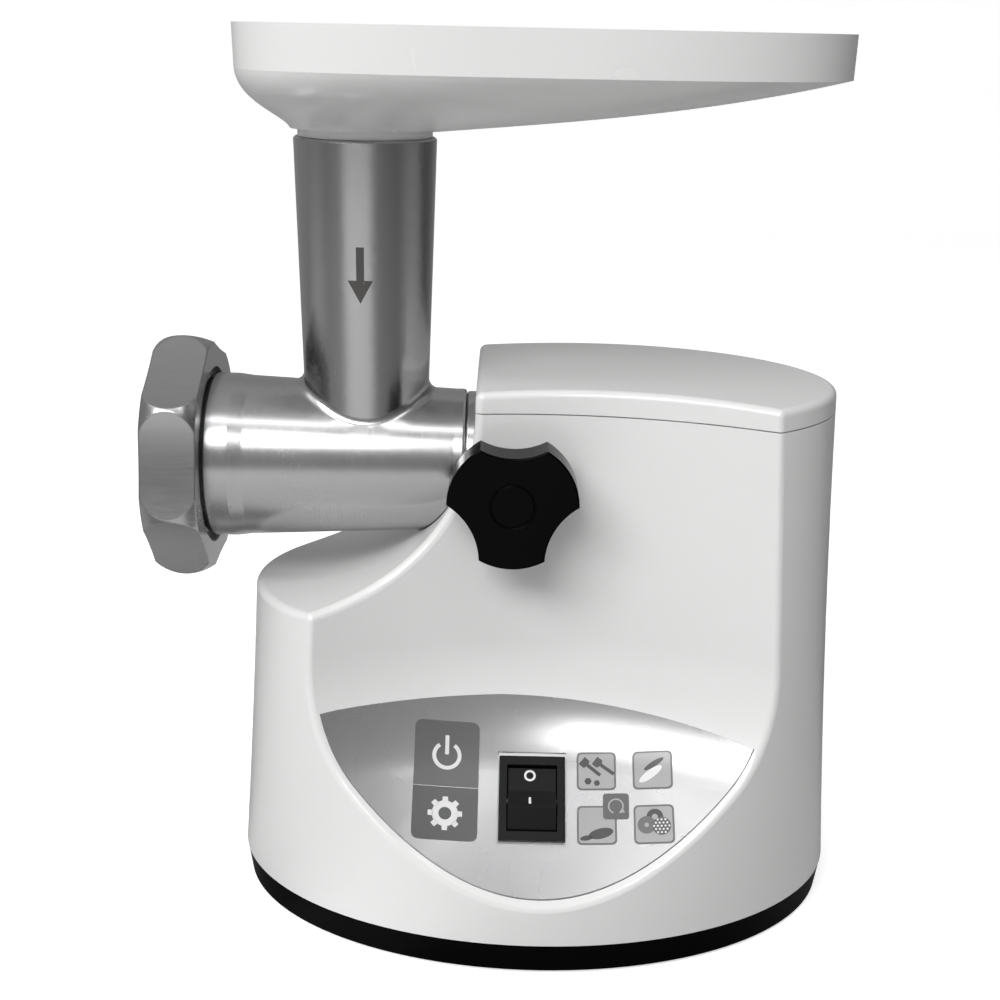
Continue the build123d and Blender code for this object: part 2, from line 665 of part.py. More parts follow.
def gearbox_screws():
    return [along_x(screw_r, box_x[1] - 10, cover_x, y, z) + along_x(3.0, cover_x, cover_x + 2, y, z)
            for y, z in lug_yz()]


def shaft_bushes():
    """A plain bush at each end of each shaft in the gearbox."""
    bushes = []
    for i, ((y, z), r) in enumerate(zip(shaft_yz, shaft_r)):
        ends = [(box_x[1] - 0.5, cover_x + 0.6)] + ([(box_x[0] - 0.5, box_x[0] + 3.5)] if i else [])
        bushes += [along_x(r + bush_wall, a, b, y, z) - along_x(r + bush_gap, a - 1, b + 1, y, z)
                   for a, b in ends]
    return bushes


def involute(angle):
    return math.tan(angle) - angle


def gear_outline(module, teeth, turn):
    """An involute outline with short teeth and a little backlash; a tooth points along turn (radians)."""
    pitch_r, tip_r = module * teeth / 2, module * (teeth / 2 + 0.85)
    base_r, root_r = pitch_r * math.cos(math.radians(20)), module * (teeth / 2 - 1.15)
    at_pitch = math.pi / (2 * teeth) - backlash / (2 * pitch_r) + involute(math.radians(20))
    flank = [max(root_r, base_r) + (tip_r - max(root_r, base_r)) * k / 3 for k in range(4)]
    half = [at_pitch - involute(math.acos(min(1.0, base_r / r))) for r in flank]
    if root_r < base_r:
        flank, half = [root_r] + flank, [half[0]] + half
    points = []
    for k in range(teeth):
        middle = turn + 2 * math.pi * k / teeth
        left = [(r, middle - h) for r, h in zip(flank, half)]
        right = [(r, middle + h) for r, h in zip(reversed(flank), reversed(half))]
        points += [(r * math.cos(t), r * math.sin(t)) for r, t in left + right]
    return make_face(Polyline(points, close=True))


def mesh_turns(stage):
    """Tooth directions that put the large gear and the pinion of a stage in mesh."""
    (y0, z0), (y1, z1) = shaft_yz[stage], shaft_yz[stage + 1]
    towards = math.atan2(z1 - z0, y1 - y0)
    return towards, towards + math.pi + math.pi / stages[stage][2]


def large_gear(stage, bore):
    module, teeth, _, x0, width = stages[stage]
    y, z = shaft_yz[stage]
    outline = Pos(y, z) * gear_outline(module, teeth, mesh_turns(stage)[0])
    gear = in_yz(outline, x0, x0 + width)
    rim = module * (teeth / 2 - 1.25) - 3
    for a, b in ((x0 - 1, x0 + width * 0.3), (x0 + width * 0.7, x0 + width + 1)):
        gear -= along_x(rim, a, b, y, z) - along_x(bore + 3.5, a - 1, b + 1, y, z)
    return gear - along_x(bore, x0 - 1, x0 + width + 1, y, z)


def small_gear(stage, bore):
    module, _, teeth, x0, width = stages[stage]
    y, z = shaft_yz[stage + 1]
    outline = Pos(y, z) * gear_outline(module, teeth, mesh_turns(stage)[1])
    return in_yz(outline, x0, x0 + width) - along_x(bore, x0 - 1, x0 + width + 1, y, z)


def output_shaft():
    """Square socket at the front for the scroll's tang, then the bearing length and the gear seat."""
    shaft = turned_x([(drive_head_x, 0), (drive_head_x, drive_head_r), (-3.2, drive_head_r),
                      (-3.2, output_shaft_r), (26.4, output_shaft_r), (26.4, 6.0), (39.5, 6.0),
                      (39.5, shaft_r[0]), (cover_x + 0.3, shaft_r[0]), (cover_x + 0.3, 0)])
    socket = drive_square + 0.6
    return shaft - Pos(drive_head_x, 0, axis_z) * Box(2 * (drive_tang_end + 1 - drive_head_x), socket, socket)


def layshaft(i):
    y, z = shaft_yz[i]
    return along_x(shaft_r[i], box_x[0] - 0.4, cover_x + 0.3, y, z)


# --- motor --------------------------------------------------------------------------------------

def motor_x(radius, x0, x1):
    return along_x(radius, x0, x1, motor_y, motor_z)


def motor_square(half, x0, x1, corner):
    return in_yz(Pos(motor_y, motor_z) * RectangleRounded(2 * half, 2 * half, corner), x0, x1)


def motor_bolt_yz():
    return [(motor_y + sy * bolt_off, motor_z + sz * bolt_off) for sy in (-1, 1) for sz in (-1, 1)]


def coil_sector(inner, outer, start, span, x0, x1):
    """A ring sector about the motor axis; start and span in degrees."""
    ring = motor_x(outer, x0, x1) - motor_x(inner, x0 - 1, x1 + 1)
    wedge = Polyline((0, 0), *[(60 * math.cos(math.radians(start + a)), 60 * math.sin(math.radians(start + a)))
                               for a in (0, span / 2, span)], close=True)
    return ring & in_yz(Pos(motor_y, motor_z) * make_face(wedge), x0, x1)


def motor_stator():
    stack = motor_square(stator_half, *stator_x, 9) - motor_x(armature_r + 0.8, -60, 10)
    for start in (40, 220):
        stack -= coil_sector(armature_r, 30.6, start - 1, 102, stator_x[0] - 1, stator_x[1] + 1)
    for y, z in motor_bolt_yz():
        stack -= along_x(bolt_r + 0.2, -60, 10, y, z)
    return stack


def field_coils():
    return [coil_sector(armature_r + 1.4, 30.0, start, 100, stator_x[0] - 7, stator_x[1] + 4.5)
            for start in (40, 220)]


def armature():
    core = motor_x(armature_r, stator_x[0] + 1, stator_x[1] - 1)
    for k in range(12):
        slot = block(stator_x[0], stator_x[1], -1.0, 1.0, armature_r - 5, armature_r + 2)
        core -= Pos(0, motor_y, motor_z) * Rot(k * 30, 0, 0) * slot
    return core - motor_x(motor_shaft_r, -60, 10)


def armature_windings():
    ends = ((stator_x[0] - 7, stator_x[0] + 1), (stator_x[1] - 1, stator_x[1] + 5))
    return [motor_x(16.5, a, b) - motor_x(motor_shaft_r, a - 1, b + 1) for a, b in ends]


def commutator():
    bars = motor_x(commutator_r, *commutator_x)
    for k in range(24):
        groove = block(commutator_x[0] - 1, commutator_x[1] + 1, -0.3, 0.3, commutator_r - 1, commutator_r + 1)
        bars -= Pos(0, motor_y, motor_z) * Rot(k * 15, 0, 0) * groove
    return bars - motor_x(motor_shaft_r, -80, -50)


def motor_shaft():
    return motor_x(motor_shaft_r, motor_end_x, box_x[0] - 1.5) + motor_x(
        shaft_r[3], box_x[0] - 1.5, cover_x + 0.3)


def cooling_fan():
    fan = motor_x(fan_r, fan_x[0], fan_x[0] + 1.6) + motor_x(9.0, *fan_x)
    for k in range(9):
        blade = block(fan_x[0] + 0.5, fan_x[1], -0.9, 0.9, 8.0, fan_r - 0.6)
        fan += Pos(0, motor_y, motor_z) * Rot(k * 40, 0, 0) * blade
    return fan - motor_x(motor_shaft_r, 0, 30)


def motor_bracket(x0, x1):
    """An end plate with air slots, a bearing seat and four bolt holes."""
    plate = motor_square(32.0, x0, x1, 7)
    plate -= motor_x(bearing_r, x0 - 1, x1 + 1)
    for start in (0, 90, 180, 270):
        ring = motor_x(25, x0 - 1, x1 + 1) - motor_x(15, x0 - 2, x1 + 2)
        wedge = Polyline((0, 0), *[(50 * math.cos(math.radians(start + a)), 50 * math.sin(math.radians(start + a)))
                                   for a in (15, 45, 75)], close=True)
        plate -= ring & in_yz(Pos(motor_y, motor_z) * make_face(wedge), x0 - 2, x1 + 2)
    for y, z in motor_bolt_yz():
        plate -= along_x(bolt_r + 0.05, x0 - 1, x1 + 1, y, z)
    return plate


def motor_bearings():
    return [motor_x(bearing_r, a, b) - motor_x(motor_shaft_r + bush_gap, a - 1, b + 1)
            for a, b in (rear_bracket_x, front_bracket_x)]


def motor_bolts():
    x0, x1 = rear_bracket_x[0], front_bracket_x[1]
    return [along_x(bolt_r, x0, x1, y, z) + along_x(3.6, x0 - 2.2, x0, y, z) for y, z in motor_bolt_yz()]


def brush_holders():
    """A brass guide on each side of the commutator, held by an arm from the rear bracket."""
    holders = []
    for side in (-1, 1):
        a, b = sorted((motor_y + side * 12.0, motor_y + side * 26.0))
        guide = block(-71.0, -61.0, a, b, motor_z - 5.0, motor_z + 5.0)
        a, b = sorted((motor_y + side * 16.0, motor_y + side * 26.0))
        guide += block(rear_bracket_x[1], -61.0, a, b, motor_z - 5.0, motor_z - 3.5)
        a, b = sorted((motor_y, motor_y + side * 40))
        holders.append(guide - block(-69.5, -62.5, a, b, motor_z - 3.5, motor_z + 3.5))
    return holders


def carbon_brushes():
    brushes = []
    for side in (-1, 1):
        a, b = sorted((motor_y, motor_y + side * 24.0))
        brushes.append(block(-69.4, -62.6, a, b, motor_z - 3.4, motor_z + 3.4)
                       - motor_x(commutator_r + 0.05, -80, -50))
    return brushes


def motor_cradle():
    """A folded steel stand for the motor and the lower end of the gearbox."""
    floor_z, y0, y1 = base_z + base_floor_t, motor_y - 25, motor_y + 25
    low = motor_z - stator_half - cradle_pad_t
    stand = block(-46, 36, y0, y1, floor_z, floor_z + 2)
    for x in (-46.0, -6.0):
        stand += block(x, x + 2, y0, y1, floor_z, low - 2) + block(x, x + 10, y0, y1, low - 2, low)
    stand += block(34, 36, y0 + 8, y1 - 8, floor_z, motor_z - 12.0 - cradle_pad_t)
    return stand + block(34, 44, y0 + 8, y1 - 8, motor_z - 14.0 - cradle_pad_t, motor_z - 12.0 - cradle_pad_t)


def cradle_pads():
    low = motor_z - stator_half
    pads = [block(x, x + 9, motor_y - 22, motor_y + 22, low - cradle_pad_t, low) for x in (-45.5, -5.5)]
    return pads + [block(35, 43, motor_y - 2.5, motor_y + 2.5, motor_z - 12.0 - cradle_pad_t, motor_z - 12.0)]


def circuit_board():
    board = block(60, 100, -14, -12.4, 10, 46) + block(66, 70, -14, -8, 10, 12)
    board += block(72, 88, -12.4, -6, 16, 28) + block(92, 97, -12.4, -8, 30, 38)
    return board


def board_rail():
    floor_z = base_z + base_floor_t
    return block(58, 102, -18, -8, floor_z, floor_z + 2) + block(58, 102, -17, -14.3, floor_z, 14) + block(
        58, 102, -12.1, -10, floor_z, 9.5)


def suppression_capacitor():
    return fillet(block(72, 98, 10, 26, base_z + base_floor_t, 34).edges().filter_by(Axis.Z), 2.0)


def export(name, shape):
    """Write one node, moved into the finished frame."""
    pieces = shape if isinstance(shape, list) else [shape]
    solids = [Pos(to_frame_x, 0, 0) * s for piece in pieces for s in piece.solids()]
    export_step(solids[0] if len(solids) == 1 else Compound(children=solids), f"parts/{name}.step")


def main():
    os.makedirs("parts", exist_ok=True)
    nodes = {
        "body_shell": body_shell(), "top_cover": top_cover(),
        "control_panel": control_panel(), "base_plate": base_plate(), "rubber_feet": rubber_feet(),
        "base_screws": base_screws(), "cord_gland": cord_gland(),
        "switch_bezel": switch_bezel(), "switch_rocker": switch_rocker(), "rocker_axle": rocker_axle(),
        "switch_body": switch_body(), "switch_terminals": switch_terminals(),
        "barrel_housing": barrel_housing(), "scroll_bush": scroll_bush(), "scroll": scroll(),
        "cutting_knife": cutting_knife(), "cutter_screen": cutter_screen(), "ring_nut": ring_nut(),
        "feed_tray": feed_tray(), "clamp_knob": clamp_knob(), "clamp_screw": clamp_screw(),
        "knob_washer": knob_washer(), "clamp_insert": clamp_insert(),
        "outlet_collar": outlet_collar(), "collar_screws": collar_screws(), "output_bush": output_bush(),
        "gearbox_housing": gearbox_housing(), "gearbox_cover": gearbox_cover(),
        "gearbox_screws": gearbox_screws(), "shaft_bushes": shaft_bushes(),
        "output_shaft": output_shaft(), "output_gear": large_gear(0, 6.0),
        "second_layshaft": layshaft(1), "second_gear": large_gear(1, shaft_r[1]),
        "second_pinion": small_gear(0, shaft_r[1]),
        "first_layshaft": layshaft(2), "first_gear": large_gear(2, shaft_r[2]),
        "first_pinion": small_gear(1, shaft_r[2]), "motor_pinion": small_gear(2, shaft_r[3]),
        "motor_shaft": motor_shaft(), "armature": armature(), "armature_windings": armature_windings(),
        "commutator": commutator(), "cooling_fan": cooling_fan(), "motor_stator": motor_stator(),
        "field_coils": field_coils(), "motor_rear_bracket": motor_bracket(*rear_bracket_x),
        "motor_front_bracket": motor_bracket(*front_bracket_x), "motor_bearings": motor_bearings(),
        "motor_bolts": motor_bolts(), "brush_holders": brush_holders(), "carbon_brushes": carbon_brushes(),
        "motor_cradle": motor_cradle(), "cradle_pads": cradle_pads(), "circuit_board": circuit_board(),
        "board_rail": board_rail(), "suppression_capacitor": suppression_capacitor(),
    }
    for name, shape in nodes.items():
        export(name, shape)


main()
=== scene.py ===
import json
import math

import bmesh
import bpy
from mathutils import Matrix, Vector
from mathutils.bvhtree import BVHTree


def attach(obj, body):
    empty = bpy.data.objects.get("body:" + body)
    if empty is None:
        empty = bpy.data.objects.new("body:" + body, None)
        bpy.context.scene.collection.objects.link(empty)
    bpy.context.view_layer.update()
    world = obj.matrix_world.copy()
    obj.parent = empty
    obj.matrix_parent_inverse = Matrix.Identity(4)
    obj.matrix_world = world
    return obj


# Looks for an electric meat grinder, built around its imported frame. Metres, +Z up, front towards -Y.

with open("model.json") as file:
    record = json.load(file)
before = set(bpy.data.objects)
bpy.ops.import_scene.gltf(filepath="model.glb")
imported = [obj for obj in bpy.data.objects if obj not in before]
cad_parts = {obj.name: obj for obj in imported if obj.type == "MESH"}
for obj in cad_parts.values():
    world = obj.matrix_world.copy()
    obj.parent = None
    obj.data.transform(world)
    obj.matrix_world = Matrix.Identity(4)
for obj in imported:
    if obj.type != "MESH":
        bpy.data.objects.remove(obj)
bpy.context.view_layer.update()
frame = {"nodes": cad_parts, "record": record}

MM = 0.001
DRUM_X = 15.25 * MM         # the drum's axis; the frame's origin is the middle of the whole footprint
FEED_X = -59.25 * MM        # axis of the feed tube
TUBE_R = 27.0               # radius on which marks are laid round it, in millimetres
BLOTCH = 0.03               # how far clouds move the gloss of metal


# --- node material helpers -----------------------------------------------------------------------

class Nodes:
    """One material and short calls that add nodes to it."""

    def __init__(self, name):
        self.material = bpy.data.materials.new(name)
        self.material.use_nodes = True
        self.tree = self.material.node_tree
        self.tree.nodes.clear()
        self.shader = self.add("ShaderNodeBsdfPrincipled")
        self.output = self.add("ShaderNodeOutputMaterial")
        self.link(self.shader.outputs[0], self.output.inputs[0])
        self.place = self.add("ShaderNodeTexCoord").outputs["Object"]

    def add(self, kind, **values):
        node = self.tree.nodes.new(kind)
        for key, value in values.items():
            setattr(node, key, value)
        return node

    def link(self, a, b):
        self.tree.links.new(a, b)

    def stretched(self, scale, turn=(0, 0, 0)):
        """Object coordinates, scaled along each axis."""
        mapping = self.add("ShaderNodeMapping")
        mapping.inputs["Scale"].default_value = scale
        mapping.inputs["Rotation"].default_value = turn
        self.link(self.place, mapping.inputs["Vector"])
        return mapping.outputs[0]

    def noise(self, scale, detail=3.0, vector=None, rough=0.5):
        node = self.add("ShaderNodeTexNoise")
        node.inputs["Scale"].default_value = scale
        node.inputs["Detail"].default_value = detail
        node.inputs["Roughness"].default_value = rough
        self.link(vector if vector is not None else self.place, node.inputs["Vector"])
        return node.outputs["Fac"]

    def spread(self, value, low, high, start=0.3, end=0.7):
        """value from start..end brought to low..high."""
        node = self.add("ShaderNodeMapRange")
        node.inputs["From Min"].default_value = start
        node.inputs["From Max"].default_value = end
        node.inputs["To Min"].default_value = low
        node.inputs["To Max"].default_value = high
        self.link(value, node.inputs["Value"])
        return node.outputs["Result"]

    def tint(self, value, dark, light):
        node = self.add("ShaderNodeMix", data_type="RGBA")
        node.inputs["A"].default_value = (*dark, 1)
        node.inputs["B"].default_value = (*light, 1)
        self.link(value, node.inputs["Factor"])
        return node.outputs["Result"]

    def maths(self, kind, a, b):
        node = self.add("ShaderNodeMath", operation=kind)
        for socket, value in zip(node.inputs, (a, b)):
            if isinstance(value, (int, float)):
                socket.default_value = value
            else:
                self.link(value, socket)
        return node.outputs[0]

    def bump(self, height, distance, strength=1.0, below=None):
        node = self.add("ShaderNodeBump")
        node.inputs["Strength"].default_value = strength
        node.inputs["Distance"].default_value = distance
        self.link(height, node.inputs["Height"])
        if below is not None:
            self.link(below, node.inputs["Normal"])
        return node.outputs["Normal"]

    def soft_edge(self, radius):
        """A normal that rounds sharp edges, so they catch the light."""
        node = self.add("ShaderNodeBevel", samples=6)
        node.inputs["Radius"].default_value = radius
        return node.outputs["Normal"]

    def set(self, **values):
        """Sets or links sockets of the shader: names with _ for a space."""
        for key, value in values.items():
            socket = self.shader.inputs[key.replace("_", " ")]
            if isinstance(value, bpy.types.NodeSocket):
                self.link(value, socket)
            else:
                socket.default_value = value
        return self


def plastic(name, colour, rough=0.22, spread=0.03, coat=0.0, grain=0.0, speck=0.97, shine=0.5,
            edge=0.0):
    """Moulded plastic: a slight clouding, an uneven gloss and, where wanted, a fine spark grain."""
    m = Nodes(name)
    dark = tuple(c * speck for c in colour)
    m.set(Base_Color=m.tint(m.spread(m.noise(14.0, 1.0), 0, 1, 0.0, 1.0), dark, colour))
    m.set(Roughness=m.spread(m.noise(60.0, 1.0), rough - spread, rough + spread, 0.0, 1.0), IOR=1.48)
    m.shader.inputs["Coat Weight"].default_value = coat
    m.shader.inputs["Coat Roughness"].default_value = 0.06
    m.shader.inputs["Specular IOR Level"].default_value = shine
    surface = m.soft_edge(edge) if edge else None
    if grain:
        surface = m.bump(m.noise(2600.0, 2.0), grain, 0.6, surface)
    if surface:
        m.set(Normal=surface)
    return m.material


def metal(name, colour, rough, scale, spread=0.08, depth=0.00002, tone=0.86, edge=0.0, sparkle=0.0):
    """Worked metal: fine lines from noise stretched by scale, and a grain that sparkles."""
    m = Nodes(name)
    lines = m.noise(1.0, 5.0, m.stretched(scale), 0.65)
    cloud = m.noise(18.0, 3.0)
    dark = tuple(c * tone for c in colour)
    m.set(Base_Color=m.tint(m.spread(lines, 0, 1), dark, colour), Metallic=1.0)
    uneven = m.maths("ADD", m.spread(lines, rough - spread, rough + spread),
                     m.spread(cloud, -BLOTCH, BLOTCH))
    m.set(Roughness=uneven)
    below = m.soft_edge(edge) if edge else None
    surface = m.bump(lines, depth, 0.5, below)
    if sparkle:
        surface = m.bump(m.noise(1500.0, 2.0), sparkle, 0.5, surface)
    m.set(Normal=surface)
    return m.material


WHITE = (0.83, 0.83, 0.825)
look = {
    "body_white": plastic("body_white", WHITE, 0.2, 0.008, coat=0.25, speck=0.99),
    "tray_white": plastic("tray_white", (0.82, 0.82, 0.815), 0.27, 0.008, coat=0.1, speck=0.99),
    "black_plastic": plastic("black_plastic", (0.0025, 0.0025, 0.0027), 0.45, 0.05, speck=0.8, shine=0.03),
    "knob_black": plastic("knob_black", (0.0006, 0.0006, 0.0007), 0.13, 0.02, speck=0.8, shine=0.06,
                          edge=0.0006),
    "switch_grey": plastic("switch_grey", (0.014, 0.014, 0.015), 0.36, 0.05, grain=0.00001, speck=0.85,
                           shine=0.1, edge=0.0004),
    "cast_metal": metal("cast_metal", (0.47, 0.47, 0.475), 0.23, (1500, 220, 220), 0.03, 0.000004, 0.95,
                        edge=0.0005, sparkle=0.000006),
    "nut_metal": metal("nut_metal", (0.45, 0.45, 0.455), 0.24, (90, 900, 900), 0.03, 0.000004, 0.95,
                       edge=0.0011, sparkle=0.000006),
    "steel": metal("steel", (0.5, 0.5, 0.51), 0.28, (400, 400, 400), 0.06, edge=0.0003),
    "zinc_screw": metal("zinc_screw", (0.55, 0.55, 0.56), 0.32, (700, 700, 700), 0.07),
    "gear_steel": metal("gear_steel", (0.40, 0.40, 0.42), 0.34, (600, 90, 90), 0.06),
    "bronze": metal("bronze", (0.50, 0.33, 0.14), 0.45, (500, 500, 500), 0.08),
    "brass": metal("brass", (0.70, 0.50, 0.20), 0.33, (500, 500, 500), 0.07),
    "copper": metal("copper", (0.60, 0.24, 0.10), 0.35, (60, 1400, 1400), 0.08, 0.00012),
    "lamination": metal("lamination", (0.16, 0.16, 0.17), 0.5, (1900, 30, 30), 0.08, 0.00015),
    "galvanised": metal("galvanised", (0.48, 0.49, 0.50), 0.4, (160, 160, 160), 0.1, tone=0.75),
    "grey_nylon": plastic("grey_nylon", (0.20, 0.21, 0.22), 0.45, 0.06, grain=0.00004, speck=0.88),
    "gear_nylon": plastic("gear_nylon", (0.74, 0.72, 0.64), 0.4, 0.05, grain=0.00003),
    "carbon": plastic("carbon", (0.03, 0.03, 0.03), 0.6, 0.08, grain=0.00005, speck=0.6),
    "rubber_black": plastic("rubber_black", (0.02, 0.02, 0.02), 0.7, 0.08, grain=0.00006, speck=0.7),
    "board_green": plastic("board_green", (0.05, 0.16, 0.08), 0.35, 0.05, speck=0.8),
    "capacitor_yellow": plastic("capacitor_yellow", (0.62, 0.46, 0.08), 0.4, 0.05, speck=0.9),
}


def silver_panel():
    """Printed silver film: a pale metallic lacquer under a thin clear layer, with a fine sparkle."""
    m = Nodes("silver_panel")
    cloud = m.spread(m.noise(9.0, 1.0), 0, 1, 0.0, 1.0)
    m.set(Base_Color=m.tint(cloud, (0.40, 0.40, 0.405), (0.44, 0.44, 0.445)), Metallic=0.6)
    m.set(Roughness=m.spread(m.noise(40.0, 1.0), 0.24, 0.3, 0.0, 1.0))
    m.set(Normal=m.bump(m.noise(3500.0, 1.0), 0.000008, 0.3))
    m.shader.inputs["Coat Weight"].default_value = 0.25
    m.shader.inputs["Coat Roughness"].default_value = 0.03
    return m.material


look["silver_panel"] = silver_panel()

slot_of = {part["node"]: part["material_slot"] for part in frame["record"]["subparts"]}
for node, obj in frame["nodes"].items():
    obj.data.materials.clear()
    obj.data.materials.append(look[slot_of[node]])
    for face in obj.data.polygons:
        face.material_index = 0


# --- printed marks --------------------------------------------------------------------------------

# All in millimetres from here to the stage. The slope is a cone about a vertical axis; a bend joins it
# to the upright wall of the scoop.
SCOOP_Y = -220.0            # the cone's axis
SCOOP_FLOOR, SCOOP_WALL, SCOOP_BLEND = 100.0, 190.0, 68.3
SLOPE = math.radians(45)
APEX = SCOOP_FLOOR * math.sqrt(2)       # from the cone's tip to where the slope would meet the floor
BEND_MID_Z = SCOOP_WALL - SCOOP_FLOOR + SCOOP_BLEND * math.tan(SLOPE / 2)   # where the wall takes over
BEND_Z = BEND_MID_Z - SCOOP_BLEND * math.sqrt(0.5)                          # where the bend begins


def on_slope(u, v):
    """A point on the slope and its outward normal: u sideways and v up the slope, on the flat film."""
    up = math.hypot(u, v + APEX) - APEX
    if up < BEND_Z * math.sqrt(2):
        lean, z = SLOPE, up / math.sqrt(2)
        r = SCOOP_FLOOR + z
    else:
        lean = SLOPE - (up - BEND_Z * math.sqrt(2)) / SCOOP_BLEND
        z = BEND_MID_Z - SCOOP_BLEND * math.sin(lean)
        r = SCOOP_WALL - SCOOP_BLEND + SCOOP_BLEND * math.cos(lean)
    side = u / r
    y = SCOOP_Y + r * math.sqrt(1 - side * side)
    normal = Vector((-side * math.cos(lean), -math.sqrt(1 - side * side) * math.cos(lean), math.sin(lean)))
    return Vector((u * MM + DRUM_X, y * MM, z * MM)), normal


def on_tube(u, v):
    """A point on the feed tube's front and its outward normal: u round the tube, v the height."""
    angle = u / TUBE_R
    normal = Vector((math.sin(angle), -math.cos(angle), 0))
    return Vector((FEED_X, 0, v * MM)) + normal * TUBE_R * MM, normal


def rounded(u0, u1, v0, v1, radius, corners=(1, 1, 1, 1)):
    """A rectangle's outline with round corners where asked, from the lower left, anticlockwise."""
    outline = []
    middles = ((u0, v0, 180), (u1, v0, 270), (u1, v1, 0), (u0, v1, 90))
    for (cu, cv, start), wanted in zip(middles, corners):
        if not wanted:
            outline.append((cu, cv))
            continue
        mu = cu + (radius if cu == u0 else -radius)
        mv = cv + (radius if cv == v0 else -radius)
        for k in range(7):
            a = math.radians(start + 15 * k)
            outline.append((mu + radius * math.cos(a), mv + radius * math.sin(a)))
    return outline


def turned(points, u, v, angle):
    """Points about the origin turned by an angle and moved to u, v."""
    return [(u + x * math.cos(angle) - y * math.sin(angle), v + x * math.sin(angle) + y * math.cos(angle))
            for x, y in points]


def disc(u, v, r, count=28, squash=1.0, turn=0.0):
    """The outline of a disc, or of an oval that is squashed across its length."""
    steps = [2 * math.pi * k / count for k in range(count)]
    return turned([(r * math.cos(a), r * squash * math.sin(a)) for a in steps], u, v, turn)


def ring(u, v, inner, outer, start=0, end=360, count=30):
    """A ring or an arc of one as a row of small quads."""
    cells = []
    for k in range(count):
        a, b = (math.radians(start + (end - start) * j / count) for j in (k, k + 1))
        cells.append([(u + r * math.cos(t), v + r * math.sin(t))
                      for r, t in ((inner, a), (outer, a), (outer, b), (inner, b))])
    return cells


CAST_FROM, CAST_REACH = 4 * MM, 12 * MM     # how far outside a film starts and how far it may fall


def printed(name, outlines, place, node, body, finish, lift, thick=0.06, cell=2.0):
    """A thin printed film on a CAD node: outlines are cut into cells and cast onto its surface."""
    flat = bmesh.new()
    for outline in outlines:
        flat.faces.new([flat.verts.new((u, v, 0)) for u, v in outline])
    low = [min(p[k] for o in outlines for p in o) for k in (0, 1)]
    high = [max(p[k] for o in outlines for p in o) for k in (0, 1)]
    for axis in (0, 1):
        at = low[axis] + cell
        while at < high[axis]:
            spot, normal = [0, 0, 0], [0, 0, 0]
            spot[axis], normal[axis] = at, 1
            everything = flat.verts[:] + flat.edges[:] + flat.faces[:]
            bmesh.ops.bisect_plane(flat, geom=everything, dist=1e-5, plane_co=spot, plane_no=normal)
            at += cell
    flat.verts.index_update()
    surface = BVHTree.FromObject(frame["nodes"][node], bpy.context.evaluated_depsgraph_get())
    film = bmesh.new()
    pairs = []
    for vertex in flat.verts:
        point, normal = place(vertex.co.x, vertex.co.y)
        hit = surface.ray_cast(point + normal * CAST_FROM, -normal, CAST_REACH)[0] or point
        pairs.append([film.verts.new(hit + normal * h * MM) for h in (lift + thick, lift)])
    for face in flat.faces:
        ids = [vertex.index for vertex in face.verts]
        if face.normal.z < 0:
            ids.reverse()
        film.faces.new([pairs[k][0] for k in ids])
        film.faces.new([pairs[k][1] for k in reversed(ids)])
    for edge in flat.edges:
        if len(edge.link_faces) == 1:
            a, b = (vertex.index for vertex in edge.verts)
            film.faces.new((pairs[a][0], pairs[b][0], pairs[b][1], pairs[a][1]))
    flat.free()
    bmesh.ops.recalc_face_normals(film, faces=film.faces[:])
    data = bpy.data.meshes.new(name)
    film.to_mesh(data)
    film.free()
    data.materials.append(finish)
    obj = bpy.data.objects.new(name, data)
    bpy.context.scene.collection.objects.link(obj)
    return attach(obj, body)


ink = {
    "grey": plastic("ink_grey", (0.135, 0.135, 0.137), 0.3, 0.03, speck=0.94),
    "dark": plastic("ink_dark", (0.105, 0.105, 0.107), 0.3, 0.03, speck=0.94),
    "line": plastic("ink_line", (0.05, 0.05, 0.052), 0.35, 0.03, speck=0.9),
    "white": plastic("ink_white", (0.78, 0.78, 0.78), 0.3, 0.03),
    "tile": plastic("ink_tile", (0.42, 0.42, 0.425), 0.25, 0.03, speck=0.8),
    "etch": plastic("ink_etch", (0.075, 0.072, 0.07), 0.45, 0.05, speck=0.85),
}


def on_panel(name, outlines, finish, lift=0.02):
    """A film on the silver panel, raised by lift so that films stack."""
    printed(name, outlines, on_slope, "control_panel", "motor_unit", ink[finish], lift)


def label_block():
    """A two-part grey block: a plain power symbol over a plain gear wheel."""
    u0, u1, v0, v1, split = -51.4, -24.9, 67.8, 117.3, 89.9
    middle, power_v, gear_v = -38.15, 103.0, 78.8
    on_panel("label_upper", [rounded(u0, u1, split + 0.15, v1, 3.0, (0, 0, 1, 1))], "grey")
    on_panel("label_lower", [rounded(u0, u1, v0, split - 0.15, 3.0, (1, 1, 0, 0))], "dark")
    power = ring(middle, power_v, 4.4, 6.0, 125, 415)
    power.append(rounded(middle - 0.8, middle + 0.8, power_v + 0.4, power_v + 8.4, 0.4))
    on_panel("label_power", power, "white", 0.1)
    teeth = [[(middle + r * math.cos(a + d), gear_v + r * math.sin(a + d))
              for r, d in ((5.0, -0.24), (7.0, -0.15), (7.0, 0.15), (5.0, 0.24))]
             for a in (k * math.pi / 4 for k in range(8))]
    on_panel("label_gear", ring(middle, gear_v, 2.6, 5.3) + teeth, "white", 0.1)


def tile(name, u, v):
    """A square tile with a grey frame round a pale field."""
    for part, half, corner, finish, lift in (("frame", 8.0, 2.0, "grey", 0.02),
                                             ("field", 7.25, 1.5, "tile", 0.1)):
        on_panel(f"{name}_{part}", [rounded(u - half, u + half, v - half, v + half, corner)], finish, lift)


